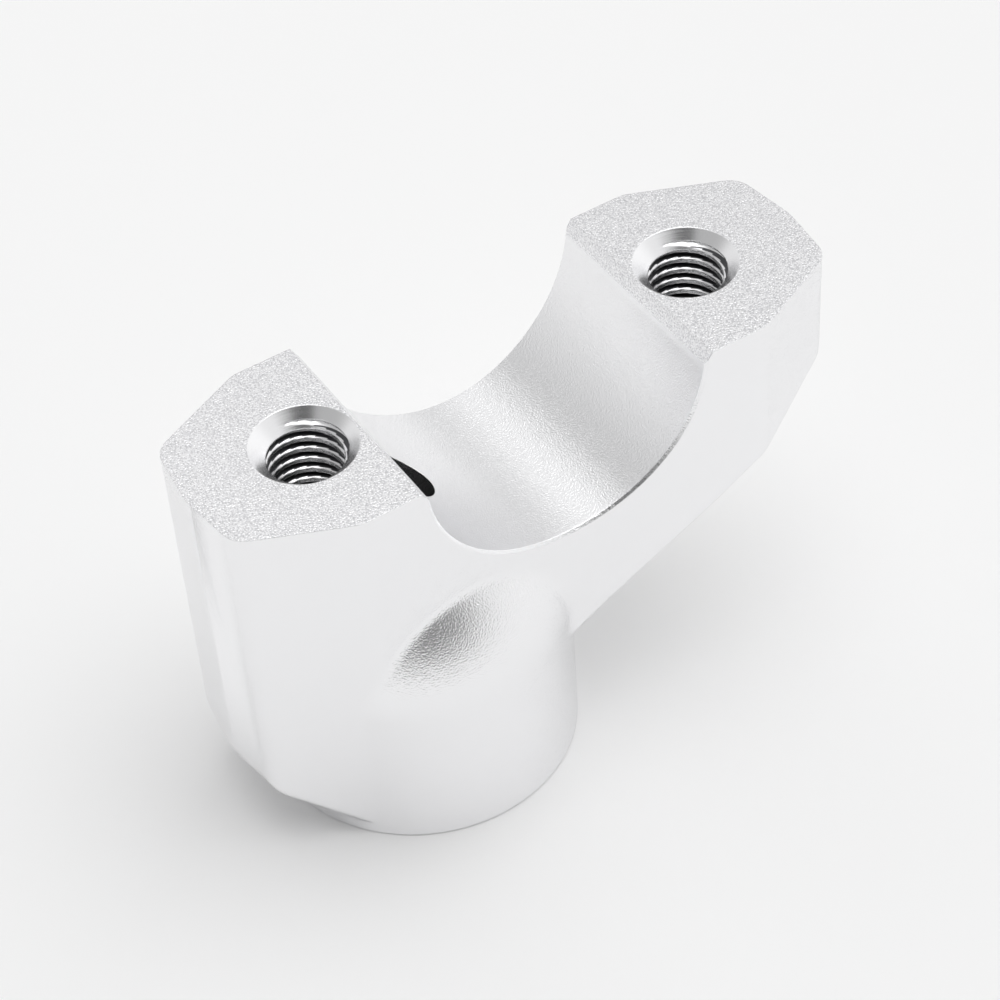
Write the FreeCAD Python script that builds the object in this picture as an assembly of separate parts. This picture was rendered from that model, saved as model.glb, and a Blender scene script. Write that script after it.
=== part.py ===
import FreeCAD, Part
import math
import os

# Lower half of a handlebar clamp: one forged, machined and bead-blasted aluminium piece.
# Origin: centre of the round foot's bottom face. +X points to the short arm,
# +Y runs along the handlebar and +Z is up. Millimetres and degrees throughout.

# Handlebar seat
bar_diameter = 28.6
bar_height = 41.3          # bar axis above the foot's bottom face
bar_offset = 11.65         # bar axis ahead of the foot's axis
clamp_gap = 0.6            # gap left to the upper half when the bar is clamped
mouth_bevel_run = 0.75     # bevel between the seat and each top face
mouth_bevel_rise = 1.2
seat_edge_chamfer = 0.25

# Body in plan, the same on both sides of the bar axis
body_width = 22.4
waist_reach = 14.0         # bar axis to where the flanks start to hollow in
waist_dip = 0.8            # corner at the middle of each flank, before the waist radius
waist_radius = 100.0
end_reach = 31.6           # bar axis to the end face, at the parting line
taper_start = 20.8         # bar axis to where the flanks start to taper
taper_angle = 24.2
flank_corner_radius = 3.0
end_corner_radius = 2.5
draft_angle = 7.0          # forging draft of the end faces and undersides, from the parting line

# Body seen along the bar
arm_meeting_height = 13.5  # where the short arm's underside meets the foot's side
arm_underside_angle = 28.6
tower_meeting_height = 3.0  # where the tall arm's underside meets the foot's side
tower_underside_angle = 43.4
arm_heel_radius = 3.0      # between each end face and the underside
tower_heel_radius = 4.0
underside_edge_radius = 1.2
crease_radius = 4.0        # along the parting line, where the drafted faces meet

# Round foot with a domed top
foot_diameter = 30.3
foot_height = 16.2         # bottom face to where the dome starts
foot_blend_radius = 2.0    # inside corner between the foot and the body
foot_edge_chamfer = 0.15

# Parting line left by the forging dies
parting_width = 1.4
parting_height = 0.15
parting_edge_radius = 0.12

# Bolt holes of the upper half, tapped M8 x 1.25
bolt_spacing = 40.0
bolt_tap_diameter = 6.8
bolt_mouth_diameter = 9.7
tower_bolt_depth = 19.0    # the tall arm's hole is blind, the short arm's runs through

# Fixing bolt hole, tapped M10 x 1.5, with a pilot hole that breaks into the seat
fixing_tap_diameter = 8.5
fixing_mouth_diameter = 11.0
fixing_depth = 17.0
pilot_diameter = 6.8
pilot_tip_depth = 4.0      # tip of the pilot drill, below the top faces

drill_point_angle = 118.0
countersink_angle = 90.0
overrun = 5.0              # how far a cutting tool runs past the metal
tolerance = 0.001

bar_radius = bar_diameter / 2
half_width = body_width / 2
foot_radius = foot_diameter / 2
top_z = bar_height - clamp_gap / 2
up = FreeCAD.Vector(0, 0, 1)
down = FreeCAD.Vector(0, 0, -1)
along_bar = FreeCAD.Vector(0, 1, 0)

# The undersides end at a slanted wall inside the foot, which spans these two places.
tower_root = bar_offset - (taper_start + waist_reach) / 2
arm_root = bar_offset - waist_reach / 2


def tangent(angle):
    return math.tan(math.radians(angle))


def rounded_face(corners):
    # Face inside the (point, radius) corners, each rounded by an arc tangent to both of its sides.
    starts = []
    ends = []
    edges = []
    for index, (corner, radius) in enumerate(corners):
        before = (corners[index - 1][0] - corner).normalize()
        after = (corners[(index + 1) % len(corners)][0] - corner).normalize()
        half_angle = before.getAngle(after) / 2
        trim = radius / math.tan(half_angle)
        starts.append(corner + before * trim)
        ends.append(corner + after * trim)
        if radius > 0:
            bisector = (before + after).normalize()
            middle = corner + bisector * (radius / math.sin(half_angle) - radius)
            edges.append(Part.Arc(starts[-1], middle, ends[-1]).toShape())
    for index, end in enumerate(ends):
        start = starts[(index + 1) % len(corners)]
        edges.append(Part.LineSegment(end, start).toShape())
    return Part.Face(Part.Wire(Part.sortEdges(edges)[0]))


def plan_prism():
    # Seen from above: slightly waisted flanks, tapered towards both ends, and drafted end faces.
    taper = tangent(taper_angle)
    draft = tangent(draft_angle)
    corner_y = (half_width - (end_reach - taper_start) * taper) / (1 - taper * draft)
    corner_x = end_reach - corner_y * draft
    quarter = [
        (corner_x, corner_y, end_corner_radius),
        (taper_start, half_width, flank_corner_radius),
        (waist_reach, half_width, waist_radius),
    ]
    waist = [(0, half_width - waist_dip, waist_radius)]
    far_side = quarter + waist + [(-x, y, radius) for x, y, radius in reversed(quarter)]
    near_side = [(x, -y, radius) for x, y, radius in reversed(far_side)]
    outline = [(end_reach, 0, 0)] + far_side + [(-end_reach, 0, 0)] + near_side
    corners = [(FreeCAD.Vector(bar_offset + x, y, blank_bottom), radius) for x, y, radius in outline]
    return rounded_face(corners).extrude(up * (top_z - blank_bottom))


def arm_underside(x, proud):
    # Height of the short arm's underside at x. proud moves it outwards, square to itself.
    drop = proud / math.cos(math.radians(arm_underside_angle))
    return arm_meeting_height + (x - foot_radius) * tangent(arm_underside_angle) - drop


def tower_underside(x, proud):
    drop = proud / math.cos(math.radians(tower_underside_angle))
    return tower_meeting_height - (x + foot_radius) * tangent(tower_underside_angle) - drop


# The blank is over-long at the bottom, until the foot is faced.
blank_bottom = tower_underside(tower_root, overrun)


def side_face(y, proud=0.0):
    # Seen along the bar: both undersides slope down to the foot and meet inside it.
    # proud moves every outer face outwards.
    arm_x = bar_offset + end_reach + proud
    tower_x = bar_offset - end_reach - proud
    outline = [
        (tower_x, top_z, 0),
        (arm_x, top_z, 0),
        (arm_x, arm_underside(arm_x, proud), arm_heel_radius + proud),
        (arm_root, arm_underside(arm_root, proud), 0),
        (tower_root, tower_underside(tower_root, proud), 0),
        (tower_x, tower_underside(tower_x, proud), tower_heel_radius + proud),
    ]
    return rounded_face([(FreeCAD.Vector(x, y, z), radius) for x, z, radius in outline])


def drafted_half(side):
    # Half of the side form, drawn in by the draft as it leaves the parting plane. Each slanted
    # prism drafts one arm, and stays clear of the faces of the other.
    reach = half_width + overrun
    inset = reach * tangent(draft_angle)
    prisms = []
    for inwards, angle in ((1, tower_underside_angle), (-1, arm_underside_angle)):
        slope = math.radians(angle)
        rise = inset * (1 - math.sin(slope)) / math.cos(slope)
        slant = FreeCAD.Vector(inwards * inset, side * reach, rise)
        prisms.append(side_face(0).extrude(slant))
    return prisms[0].common(prisms[1])


def middle_of(edge):
    return edge.valueAt((edge.FirstParameter + edge.LastParameter) / 2)


def is_upright(edge):
    return edge.BoundBox.ZLength > edge.Length - tolerance


def is_across(edge):
    return edge.BoundBox.YLength > edge.Length - tolerance


def is_on_top(edge):
    return edge.BoundBox.ZMax > top_z - tolerance


def is_crease(edge):
    return max(abs(vertex.Y) for vertex in edge.Vertexes) < tolerance


def reaches_crease(edge):
    blended = crease_radius * tangent(draft_angle) + tolerance
    return min(abs(vertex.Y) for vertex in edge.Vertexes) < blended


def is_root(edge):
    # The draft draws the wall a little towards the tall arm, by less than this.
    drawn = half_width * tangent(draft_angle) / 2
    return tower_root - drawn < middle_of(edge).x < arm_root + tolerance


def make_arms():
    # Both arms of the body, with their crease and the edges of their undersides rounded.
    halves = drafted_half(-1).fuse(drafted_half(1))
    arms = halves.common(plan_prism()).removeSplitter().Solids[0]
    creases = [edge for edge in arms.Edges if is_crease(edge) and not (is_on_top(edge) or is_root(edge))]
    arms = arms.makeFillet(crease_radius, creases)
    rims = []
    for edge in arms.Edges:
        if not (is_on_top(edge) or is_root(edge) or is_upright(edge) or reaches_crease(edge)):
            rims.append(edge)
    return arms.makeFillet(underside_edge_radius, rims)


def make_foot():
    # Round stem with a hemispherical top, over-long at the bottom.
    lowest = FreeCAD.Vector(0, 0, blank_bottom)
    edge = FreeCAD.Vector(foot_radius, 0, blank_bottom)
    shoulder = FreeCAD.Vector(foot_radius, 0, foot_height)
    crown = FreeCAD.Vector(0, 0, foot_height + foot_radius)
    slant = math.sqrt(0.5) * foot_radius
    dome = Part.Arc(shoulder, FreeCAD.Vector(slant, 0, foot_height + slant), crown)
    sides = [
        Part.LineSegment(lowest, edge).toShape(),
        Part.LineSegment(edge, shoulder).toShape(),
        dome.toShape(),
        Part.LineSegment(crown, lowest).toShape(),
    ]
    return Part.Face(Part.Wire(sides)).revolve(FreeCAD.Vector(), up, 360)


def facing_cutter():
    # Tool that machines the foot's bottom face flat and breaks its rim.
    beside = foot_radius + overrun
    outline = [
        (0, blank_bottom - overrun),
        (beside, blank_bottom - overrun),
        (beside, foot_edge_chamfer),
        (foot_radius, foot_edge_chamfer),
        (foot_radius - foot_edge_chamfer, 0),
        (0, 0),
    ]
    corners = [(FreeCAD.Vector(x, 0, z), 0) for x, z in outline]
    return rounded_face(corners).revolve(FreeCAD.Vector(), up, 360)


def foot_distance(point):
    # Distance from a point to the foot's outer surface.
    centre_z = min(point.z, foot_height)
    return abs((point - FreeCAD.Vector(0, 0, centre_z)).Length - foot_radius)


def join_foot(arms, foot):
    # Foot and arms as one solid, with a blend all along the line where they meet.
    joined = arms.fuse(foot).removeSplitter().Solids[0]
    meeting = []
    for edge in joined.Edges:
        middle = middle_of(edge)
        if foot_distance(middle) < tolerance and arms.isInside(middle, tolerance, True):
            meeting.append(edge)
    return joined.makeFillet(foot_blend_radius, meeting)


def parting_ridge():
    # Thin raised line round both ends and undersides, on the plane where the dies met.
    ridge = side_face(-parting_width / 2, parting_height).extrude(along_bar * parting_width)
    edges = [
        edge
        for edge in ridge.Edges
        if not is_across(edge) and edge.BoundBox.ZMax < top_z + tolerance
        and edge.BoundBox.ZMin < top_z - tolerance and not is_root(edge)
    ]
    return ridge.makeFillet(parting_edge_radius, edges)


def machine_seat(blank):
    # Half-round seat for the handlebar, with broken edges at its ends and a bevelled mouth.
    length = body_width + 2 * overrun
    start = FreeCAD.Vector(bar_offset, -length / 2, bar_height)
    seated = blank.cut(Part.makeCylinder(bar_radius, length, start, along_bar))
    ends = []
    for edge in seated.Edges:
        middle = middle_of(edge)
        bar_distance = math.hypot(middle.x - bar_offset, middle.z - bar_height)
        if abs(bar_distance - bar_radius) < tolerance and not is_across(edge):
            ends.append(edge)
    seated = seated.makeChamfer(seat_edge_chamfer, ends)
    bevel_z = top_z - mouth_bevel_rise
    bevel_half = math.sqrt(bar_radius ** 2 - (bar_height - bevel_z) ** 2)
    top_half = bevel_half + mouth_bevel_run
    outline = [(-top_half, top_z), (-bevel_half, bevel_z), (bevel_half, bevel_z), (top_half, top_z)]
    corners = [(FreeCAD.Vector(bar_offset + x, -length / 2, z), 0) for x, z in outline]
    return seated.cut(rounded_face(corners).extrude(along_bar * length))


def drill(diameter, start, direction, depth):
    # Cutting tool: straight bore with the drill's conical end.
    radius = diameter / 2
    point = radius / tangent(drill_point_angle / 2)
    bore = Part.makeCylinder(radius, depth, start, direction)
    return bore.fuse(Part.makeCone(radius, 0, point, start + direction * depth, direction))


def countersink(diameter, start, direction):
    radius = diameter / 2
    return Part.makeCone(radius, 0, radius / tangent(countersink_angle / 2), start, direction)


def bolt_hole(side, depth):
    mouth = FreeCAD.Vector(bar_offset + side * bolt_spacing / 2, 0, top_z)
    return [
        drill(bolt_tap_diameter, mouth, down, depth),
        countersink(bolt_mouth_diameter, mouth, down),
    ]


def fixing_hole():
    mouth = FreeCAD.Vector()
    pilot_point = pilot_diameter / 2 / tangent(drill_point_angle / 2)
    pilot_depth = top_z - pilot_tip_depth - pilot_point
    return [
        drill(fixing_tap_diameter, mouth, up, fixing_depth),
        drill(pilot_diameter, mouth, up, pilot_depth),
        countersink(fixing_mouth_diameter, mouth, up),
    ]


def make_clamp():
    forging = join_foot(make_arms(), make_foot())
    forging = forging.fuse(parting_ridge()).removeSplitter().Solids[0]
    tools = [facing_cutter()] + bolt_hole(-1, tower_bolt_depth) + bolt_hole(1, top_z) + fixing_hole()
    return machine_seat(forging).cut(tools).Solids[0]


clamp = make_clamp()
print("clamp", clamp.isValid(), round(clamp.Volume), len(clamp.Faces), clamp.BoundBox)
os.makedirs("parts", exist_ok=True)
clamp.exportStep("parts/lower_clamp.step")
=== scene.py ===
import bpy
import bmesh
import math
from mathutils import Matrix, Vector
from mathutils.kdtree import KDTree


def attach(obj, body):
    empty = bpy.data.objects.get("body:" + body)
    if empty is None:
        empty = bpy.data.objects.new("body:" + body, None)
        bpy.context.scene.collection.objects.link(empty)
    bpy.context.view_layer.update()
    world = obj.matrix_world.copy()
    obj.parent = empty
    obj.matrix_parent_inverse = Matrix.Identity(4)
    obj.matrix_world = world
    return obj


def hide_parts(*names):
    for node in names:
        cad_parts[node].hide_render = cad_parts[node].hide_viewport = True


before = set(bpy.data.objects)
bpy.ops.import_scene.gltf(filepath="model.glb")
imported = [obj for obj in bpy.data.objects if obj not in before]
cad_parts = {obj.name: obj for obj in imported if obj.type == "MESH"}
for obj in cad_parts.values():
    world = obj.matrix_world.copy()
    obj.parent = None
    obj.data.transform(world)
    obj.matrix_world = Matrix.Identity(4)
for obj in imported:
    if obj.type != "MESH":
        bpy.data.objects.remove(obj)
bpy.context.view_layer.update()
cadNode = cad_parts["lower_clamp"]
mm = 0.001

# Sizes of the clamp that the finish depends on, all in millimetres and in the part's own frame.
clamp = {
    "barDiameter": 28.6,
    "barOffset": 11.65,      # bar axis ahead of the foot's axis
    "barHeight": 41.3,
    "topHeight": 41.0,       # the two top faces
    "mouthBevelRise": 1.2,   # bevel between the seat and the top faces
    "boltSpacing": 40.0,
    "seatReach": 20.0,       # from the bar's axis to past the seat and its bevels
    "holeReach": 5.5,        # from a bolt's axis to past its countersink
}
tolerance = 0.01             # millimetres, for telling faces apart


def placeOf(x, y, z):
    return Vector((x, y, z)) * mm


# Finishes

edgeRadius = 0.15            # millimetres, the blasting breaks all sharp edges
blast = {
    "colour": (0.92, 0.92, 0.93),
    "roughness": 0.20,
    "grainSize": 0.16,
    "grainDepth": 0.050,
}
milled = {
    "colour": (0.94, 0.94, 0.95),
    # the grain's pits get painted shade: they are coloured darker the lower they lie
    "pitShadeColour": (0.70, 0.70, 0.72),
    "pitShadeBelow": 0.35,       # heights in the grain, between which the painted shade in its pits fades out to the plain colour
    "pitShadeEndsAbove": 0.60,
    "roughness": 0.22,
    "grainSize": 0.15,
    "grainDepth": 0.056,
}
reamed = {
    "colour": (0.90, 0.90, 0.91),
    "roughness": 0.28,
    "grainSize": 0.16,
    "grainDepth": 0.046,
}
cut = {
    "colour": (0.88, 0.88, 0.89),
    "roughness": 0.26,
    "ringWidth": 0.14,       # turning marks round the holes
    "ringStretch": 40,       # how many times longer than wide the marks are
    "ringDepth": 0.008,
}
# Near-black colour painted as the shade deep in the threads, not a colour of the metal
paintedThreadShade = {
    "colour": (0.09, 0.09, 0.095),
    "roughness": 0.35,
}


def newMetal(name, finish):
    material = bpy.data.materials.new(name)
    material.use_nodes = True
    shader = material.node_tree.nodes["Principled BSDF"]
    shader.inputs["Base Color"].default_value = (*finish["colour"], 1)
    shader.inputs["Metallic"].default_value = 1
    shader.inputs["Roughness"].default_value = finish["roughness"]
    return material, material.node_tree.nodes, material.node_tree.links, shader


def addBump(nodes, links, shader, height, depth):
    edges = nodes.new("ShaderNodeBevel")
    edges.samples = 4
    edges.inputs["Radius"].default_value = edgeRadius * mm
    bump = nodes.new("ShaderNodeBump")
    bump.inputs["Strength"].default_value = 1
    bump.inputs["Distance"].default_value = depth * mm
    links.new(edges.outputs["Normal"], bump.inputs["Normal"])
    links.new(height, bump.inputs["Height"])
    links.new(bump.outputs["Normal"], shader.inputs["Normal"])


def grainMetal(name, finish):
    # Small dimples of the blasting beads, with painted shade in their pits where the finish gives a pit shade
    # colour.
    material, nodes, links, shader = newMetal(name, finish)
    coords = nodes.new("ShaderNodeTexCoord")
    dimples = nodes.new("ShaderNodeTexNoise")
    dimples.inputs["Scale"].default_value = 1 / (finish["grainSize"] * mm)
    dimples.inputs["Detail"].default_value = 1
    dimples.inputs["Roughness"].default_value = 0.5
    links.new(coords.outputs["Object"], dimples.inputs["Vector"])
    addBump(nodes, links, shader, dimples.outputs["Fac"], finish["grainDepth"])
    # Painted shade: the lower a point lies in the grain, the darker its colour.
    if "pitShadeColour" in finish:
        pitShade = nodes.new("ShaderNodeValToRGB")
        pitShade.color_ramp.elements[0].position = finish["pitShadeBelow"]
        pitShade.color_ramp.elements[0].color = (*finish["pitShadeColour"], 1)
        pitShade.color_ramp.elements[1].position = finish["pitShadeEndsAbove"]
        pitShade.color_ramp.elements[1].color = (*finish["colour"], 1)
        links.new(dimples.outputs["Fac"], pitShade.inputs["Fac"])
        links.new(pitShade.outputs["Color"], shader.inputs["Base Color"])
    return material


def ringMetal(name, finish):
    # Turning marks: rings one above the other.
    material, nodes, links, shader = newMetal(name, finish)
    coords = nodes.new("ShaderNodeTexCoord")
    stretch = nodes.new("ShaderNodeMapping")
    along = 1 / (finish["ringWidth"] * mm)
    across = along / finish["ringStretch"]
    stretch.inputs["Scale"].default_value = (across, across, along)
    noise = nodes.new("ShaderNodeTexNoise")
    noise.inputs["Scale"].default_value = 1
    noise.inputs["Detail"].default_value = 2
    links.new(coords.outputs["Object"], stretch.inputs["Vector"])
    links.new(stretch.outputs["Vector"], noise.inputs["Vector"])
    addBump(nodes, links, shader, noise.outputs["Fac"], finish["ringDepth"])
    return material


blastedSides = grainMetal("blasted sides", blast)
milledTops = grainMetal("milled and blasted tops", milled)
reamedSeat = grainMetal("reamed and blasted seat", reamed)
cutThreads = ringMetal("cut holes", cut)
# material of painted shade for the depths of the threads
threadShadeMetal = newMetal("painted shade in thread valleys", paintedThreadShade)[0]
finishes = [blastedSides, milledTops, reamedSeat, cutThreads, threadShadeMetal]
print("finishes made")


# Body of the clamp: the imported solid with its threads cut

def isTop(centre, normal):
    return normal.z > 0.99 and abs(centre.z - clamp["topHeight"] * mm) < tolerance * mm


def isMouthBevel(centre, normal):
    # A sloping face just under a top face, and about half a bar's width beside the bar's axis.
    lowest = (clamp["topHeight"] - clamp["mouthBevelRise"]) * mm
    beside = abs(centre.x - clamp["barOffset"] * mm) / (clamp["barDiameter"] * mm)
    return centre.z > lowest and 0.2 < normal.z < 0.9 and 0.45 < beside < 0.55


def isSeat(centre, normal):
    fromAxis = math.hypot(centre.x - clamp["barOffset"] * mm, centre.z - clamp["barHeight"] * mm)
    return abs(normal.y) < 0.05 and abs(fromAxis - clamp["barDiameter"] / 2 * mm) < 0.08 * mm


def copyOfNode(node, name):
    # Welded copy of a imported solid, with each face given the finish of the tool that made it.
    mesh = node.data.copy()
    piece = bpy.data.objects.new(name, mesh)
    bpy.context.scene.collection.objects.link(piece)
    shape = bmesh.new()
    shape.from_mesh(mesh)
    bmesh.ops.remove_doubles(shape, verts=shape.verts, dist=0.0001 * mm)
    shape.to_mesh(mesh)
    shape.free()
    mesh.materials.clear()
    for finish in finishes:
        mesh.materials.append(finish)
    for face in mesh.polygons:
        if isTop(face.center, face.normal) or isMouthBevel(face.center, face.normal):
            face.material_index = finishes.index(milledTops)
        elif isSeat(face.center, face.normal):
            face.material_index = finishes.index(reamedSeat)
        else:
            face.material_index = finishes.index(blastedSides)
    return piece


thread = {
    "pitch": 1.25,
    "crestRadius": 3.42,
    "rootRadius": 4.0,
    "rootFlat": 0.12,        # taken off the bottom of the thread's groove
    "shadeFromRadius": 3.60,    # beyond this radius the thread is painted near-black as shade; from its crest to here its upper side keeps the metal's colour
    "mouthRadius": 4.87,     # countersink at the top face
    "startDegrees": 150,     # where the thread runs out of the countersink
    "overrun": 0.5,          # how far the cutter stands above the top face
    "stepsRound": 120,
    "stepsPerPitch": 20,
}


def threadRadius(degrees, depth):
    # Radius of the hole at a place on its wall: the wider of the countersink and the thread.
    turn = (depth / thread["pitch"] + (degrees - thread["startDegrees"]) / 360) % 1
    height = thread["rootRadius"] - thread["crestRadius"]
    slope = thread["pitch"] / 2 * math.tan(math.radians(60))
    standing = min(max(abs(turn - 0.5) * 2 * slope - thread["rootFlat"], 0), height)
    cone = thread["mouthRadius"] - depth
    return max(cone, thread["rootRadius"] - standing)


def tapTool(name, side, depth):
    # Closed cutter with the shape of the countersunk and threaded hole.
    middle = placeOf(clamp["barOffset"] + side * clamp["boltSpacing"] / 2, 0, clamp["topHeight"])
    length = depth + thread["overrun"]
    rows = int(length / thread["pitch"] * thread["stepsPerPitch"])
    shape = bmesh.new()
    rings = []
    for row in range(rows + 1):
        down = row * length / rows - thread["overrun"]
        ring = []
        for step in range(thread["stepsRound"]):
            degrees = 360 * step / thread["stepsRound"]
            radius = threadRadius(degrees, down)
            angle = math.radians(degrees)
            place = placeOf(radius * math.cos(angle), radius * math.sin(angle), -down)
            ring.append(shape.verts.new(middle + place))
        rings.append(ring)
    for upper, lower in zip(rings, rings[1:]):
        for step in range(thread["stepsRound"]):
            after = (step + 1) % thread["stepsRound"]
            shape.faces.new((upper[step], lower[step], lower[after], upper[after]))
    shape.faces.new(list(reversed(rings[0])))
    shape.faces.new(rings[-1])
    bmesh.ops.recalc_face_normals(shape, faces=shape.faces)
    mesh = bpy.data.meshes.new(name)
    shape.to_mesh(mesh)
    shape.free()
    for finish in finishes:
        mesh.materials.append(finish)
    for face in mesh.polygons:
        # The countersink and the first turn get no painted shade.
        fromAxis = math.hypot(face.center.x - middle.x, face.center.y - middle.y)
        # Painted shade: faces past the shade radius, or turned down in the hole, are made near-black.
        isInThreadShade = fromAxis > thread["shadeFromRadius"] * mm or face.normal.z > 0.1
        if middle.z - face.center.z < thread["pitch"] * mm:
            isInThreadShade = False
        face.material_index = finishes.index(threadShadeMetal if isInThreadShade else cutThreads)
    tool = bpy.data.objects.new(name, mesh)
    bpy.context.scene.collection.objects.link(tool)
    return tool


def cutAway(piece, tool):
    cutting = piece.modifiers.new("cut", "BOOLEAN")
    cutting.operation = "DIFFERENCE"
    cutting.solver = "EXACT"
    cutting.object = tool
    bpy.context.view_layer.update()
    evaluated = piece.evaluated_get(bpy.context.evaluated_depsgraph_get())
    mesh = bpy.data.meshes.new_from_object(evaluated)
    piece.modifiers.clear()
    piece.data = mesh
    bpy.data.objects.remove(tool)


ridge = {
    "halfWidth": 0.70,       # of the parting ridge round the ends and undersides
    "reach": 0.9,            # all of the ridge lies within this of the lines along its bottom
    "draft": 7,              # degrees, of the faces beside it
    "left": 0.02,            # height that the blasting leaves of it
    "rounding": 0.3,         # width over which the edges of what is left are rounded
}
cornerAngle = 25             # degrees, an edge that turns further than this stays sharp


def fromSeat(place):
    return math.hypot(place.x - clamp["barOffset"] * mm, place.z - clamp["barHeight"] * mm)


def isRidgeEdge(edge):
    # The ridge's edges are shaded smooth, as the blasting has worn them.
    middle = (edge.verts[0].co + edge.verts[1].co) / 2
    isBelowTop = middle.z < (clamp["topHeight"] - tolerance) * mm
    return abs(middle.y) < ridge["reach"] * mm and isBelowTop and fromSeat(middle) >= clamp["seatReach"] * mm


def isOutside(place):
    # Away from the seat, the bolt holes and the foot's bottom face.
    fromBolt = math.hypot(abs(place.x - clamp["barOffset"] * mm) - clamp["boltSpacing"] / 2 * mm, place.y)
    isClear = fromSeat(place) > clamp["seatReach"] * mm and fromBolt > clamp["holeReach"] * mm
    return isClear and place.z > tolerance * mm


def linesBelowRidge(shape):
    # Points along both sides of the ridge's bottom, each with the way out of the metal there.
    halfWidth = ridge["halfWidth"] * mm
    points = []
    for point in shape.verts:
        drafted = []
        for face in point.link_faces:
            if abs(face.calc_center_median().y) > halfWidth + 0.05 * mm and abs(face.normal.y) < 0.3:
                drafted.append(face)
        isAtSide = abs(abs(point.co.y) - halfWidth) < tolerance * mm
        if drafted and isAtSide and isOutside(point.co):
            normal = max(drafted, key=lambda face: face.calc_area()).normal
            points.append((point.co.copy(), Vector((normal.x, 0, normal.z)).normalized()))
    return points


def wearRidge(shape):
    # Wears the parting ridge down until it stands just proud of the drafted faces beside it.
    halfWidth = ridge["halfWidth"] * mm
    bottom = linesBelowRidge(shape)
    tree = KDTree(len(bottom))
    for index, entry in enumerate(bottom):
        tree.insert(entry[0], index)
    tree.balance()
    worn = 0
    for point in shape.verts:
        inwards = halfWidth - abs(point.co.y)
        nearest, index, distance = tree.find(point.co)
        if distance > ridge["reach"] * mm or inwards < -0.001 * mm or not isOutside(point.co):
            continue
        outwards = bottom[index][1]
        height = (point.co - nearest).dot(outwards)
        kept = inwards * math.tan(math.radians(ridge["draft"]))
        kept += ridge["left"] * mm * min(inwards / (ridge["rounding"] * mm), 1)
        if height > kept:
            point.co -= outwards * (height - kept)
            worn += 1
    print("ridge worn at", worn, "places")


def keepCorners(mesh):
    # Smooth shading everywhere but at the real corners.
    shape = bmesh.new()
    shape.from_mesh(mesh)
    wearRidge(shape)
    for face in shape.faces:
        face.smooth = True
    for edge in shape.edges:
        edge.smooth = edge.calc_face_angle(0) < math.radians(cornerAngle) or isRidgeEdge(edge)
    shape.to_mesh(mesh)
    shape.free()


holes = [
    {"name": "tall arm's hole", "side": -1, "depth": 18.5},
    {"name": "short arm's hole, right through", "side": 1, "depth": 24.0},
]

body = copyOfNode(cadNode, "clampBody")
for hole in holes:
    cutAway(body, tapTool("tap", hole["side"], hole["depth"]))
    print("cut:", hole["name"])
keepCorners(body.data)
weighting = body.modifiers.new("flat faces stay flat", "WEIGHTED_NORMAL")
weighting.keep_sharp = True
weighting.weight = 80
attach(body, "root")
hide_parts("lower_clamp")
print("body made,", len(body.data.polygons), "faces")


# Studio

studio = {
    "floorColour": 0.92,
    "floorSize": 4.0,
    "light": 0.88,           # of the room, where nothing below changes it
}

# Darker and brighter parts of the room round the object, each laid over the ones before. Azimuth
# and elevation are as the view's. Reach is where a part ends, and fade is how much of that is its
# soft edge. All are in degrees.
room = [
    {"name": "dim wall behind", "azimuth": 150, "elevation": 38, "reach": 44, "fade": 24, "light": 0.87},
    {"name": "dim left side", "azimuth": -88, "elevation": 44, "reach": 50, "fade": 32, "light": 0.48},
    {"name": "dark room in front", "azimuth": -18, "elevation": 24, "reach": 48, "fade": 34, "light": 0.28},
    {"name": "camera and its stand", "azimuth": -30, "elevation": 46, "reach": 24, "fade": 14, "light": 0.05},
    {"name": "dim corner behind", "azimuth": 139, "elevation": 34, "reach": 16, "fade": 12, "light": 0.55},
    {"name": "dim left corner", "azimuth": -152, "elevation": 44, "reach": 15, "fade": 12, "light": 0.43},
    {"name": "card at the right", "azimuth": 96, "elevation": 22, "reach": 42, "fade": 30, "light": 1.10},
    {"name": "soft box behind", "azimuth": 172, "elevation": 53, "reach": 12, "fade": 11, "light": 0.98},
    {"name": "soft box overhead", "azimuth": 50, "elevation": 80, "reach": 34, "fade": 18, "light": 2.37},
]


def towards(azimuth, elevation):
    flat = math.cos(math.radians(elevation))
    turned = math.radians(azimuth)
    return Vector((math.sin(turned) * flat, -math.cos(turned) * flat, math.sin(math.radians(elevation))))


def laidOver(nodes, links, light, inside, level):
    # The light so far, changed to a new level inside one part of the room.
    mix = nodes.new("ShaderNodeMix")
    mix.data_type = "FLOAT"
    mix.inputs["A"].default_value = studio["light"]
    mix.inputs["B"].default_value = level
    links.new(inside, mix.inputs["Factor"])
    if light is not None:
        links.new(light, mix.inputs["A"])
    return mix.outputs["Result"]


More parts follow.
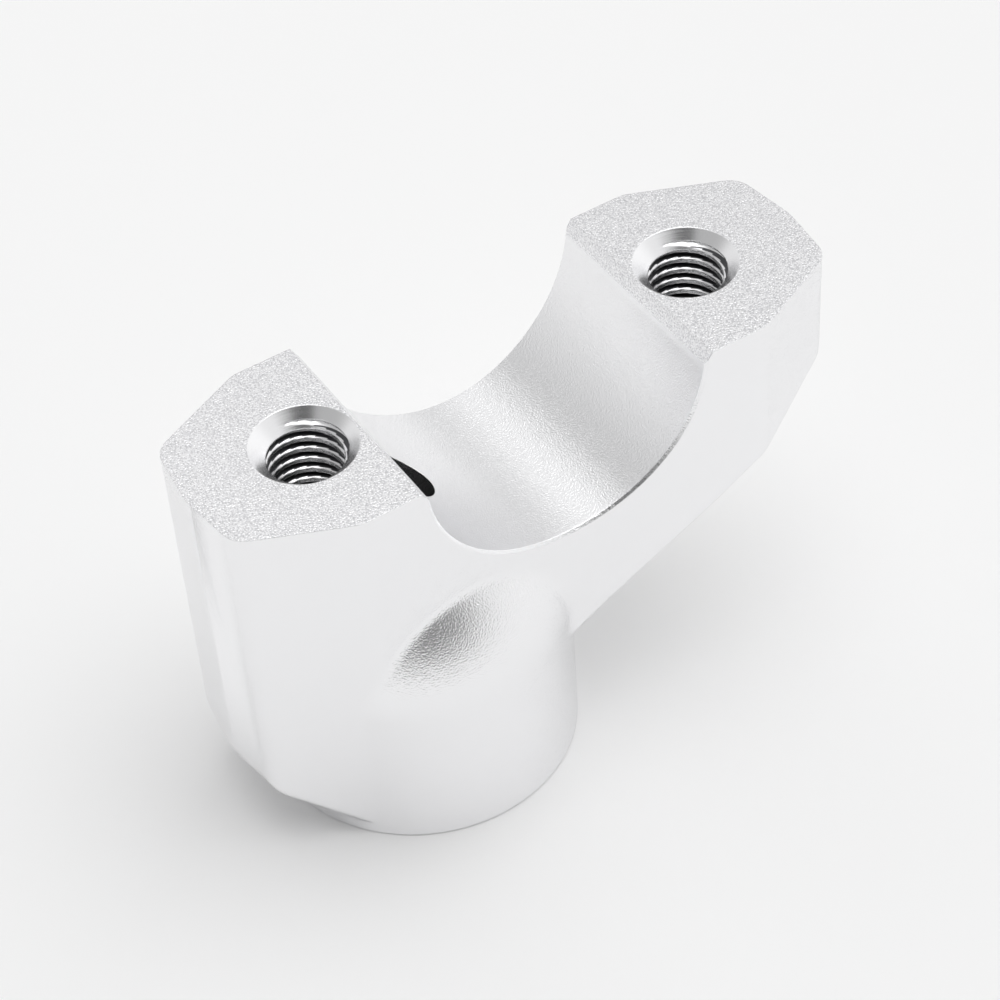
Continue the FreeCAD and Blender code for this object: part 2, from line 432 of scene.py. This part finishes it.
def within(nodes, links, direction, part):
    # 1 inside a round part of the room, 0 outside, with a soft edge.
    facing = nodes.new("ShaderNodeVectorMath")
    facing.operation = "DOT_PRODUCT"
    facing.inputs[1].default_value = towards(part["azimuth"], part["elevation"])
    links.new(direction, facing.inputs[0])
    edge = nodes.new("ShaderNodeMapRange")
    edge.interpolation_type = "SMOOTHSTEP"
    edge.inputs["From Min"].default_value = math.cos(math.radians(part["reach"]))
    edge.inputs["From Max"].default_value = math.cos(math.radians(part["reach"] - part["fade"]))
    links.new(facing.outputs["Value"], edge.inputs["Value"])
    return edge.outputs["Result"]


def makeSky():
    world = bpy.data.worlds.new("studio")
    bpy.context.scene.world = world
    world.use_nodes = True
    nodes, links = world.node_tree.nodes, world.node_tree.links
    direction = nodes.new("ShaderNodeTexCoord").outputs["Generated"]
    light = None
    for part in room:
        inside = within(nodes, links, direction, part)
        light = laidOver(nodes, links, light, inside, part["light"])
    background = nodes["Background"]
    background.inputs["Strength"].default_value = 1
    links.new(light, background.inputs["Color"])


def makeFloor():
    half = studio["floorSize"] / 2
    mesh = bpy.data.meshes.new("floor")
    corners = [(-half, -half, 0), (half, -half, 0), (half, half, 0), (-half, half, 0)]
    mesh.from_pydata(corners, [], [(0, 1, 2, 3)])
    floor = bpy.data.objects.new("floor", mesh)
    bpy.context.scene.collection.objects.link(floor)
    material = bpy.data.materials.new("pale floor")
    material.use_nodes = True
    shader = material.node_tree.nodes["Principled BSDF"]
    shader.inputs["Base Color"].default_value = (*[studio["floorColour"]] * 3, 1)
    shader.inputs["Roughness"].default_value = 0.9
    shader.inputs["Specular IOR Level"].default_value = 0
    mesh.materials.append(material)


view = {
    "lens": 103.9,           # on a 36 mm wide sensor
    "azimuth": -29.73,       # degrees, the camera stands to the left in front
    "elevation": 45.46,
    "roll": -4.34,
    "distance": 268.55,      # to the aim point, in millimetres
    "aim": (11.29, 1.36, 21.29),
}


def makeCamera():
    data = bpy.data.cameras.new("camera")
    data.lens = view["lens"]
    data.sensor_width = 36
    data.clip_start = 0.01
    data.clip_end = 20
    camera = bpy.data.objects.new("camera", data)
    bpy.context.scene.collection.objects.link(camera)
    back = towards(view["azimuth"], view["elevation"])
    turned = back.to_track_quat("Z", "Y").to_matrix().to_4x4()
    rolled = turned @ Matrix.Rotation(math.radians(view["roll"]), 4, "Z")
    camera.matrix_world = Matrix.Translation(placeOf(*view["aim"]) + back * view["distance"] * mm) @ rolled
    bpy.context.scene.camera = camera


makeSky()
makeFloor()
makeCamera()
bpy.context.scene.view_settings.view_transform = "Standard"
print("studio ready")
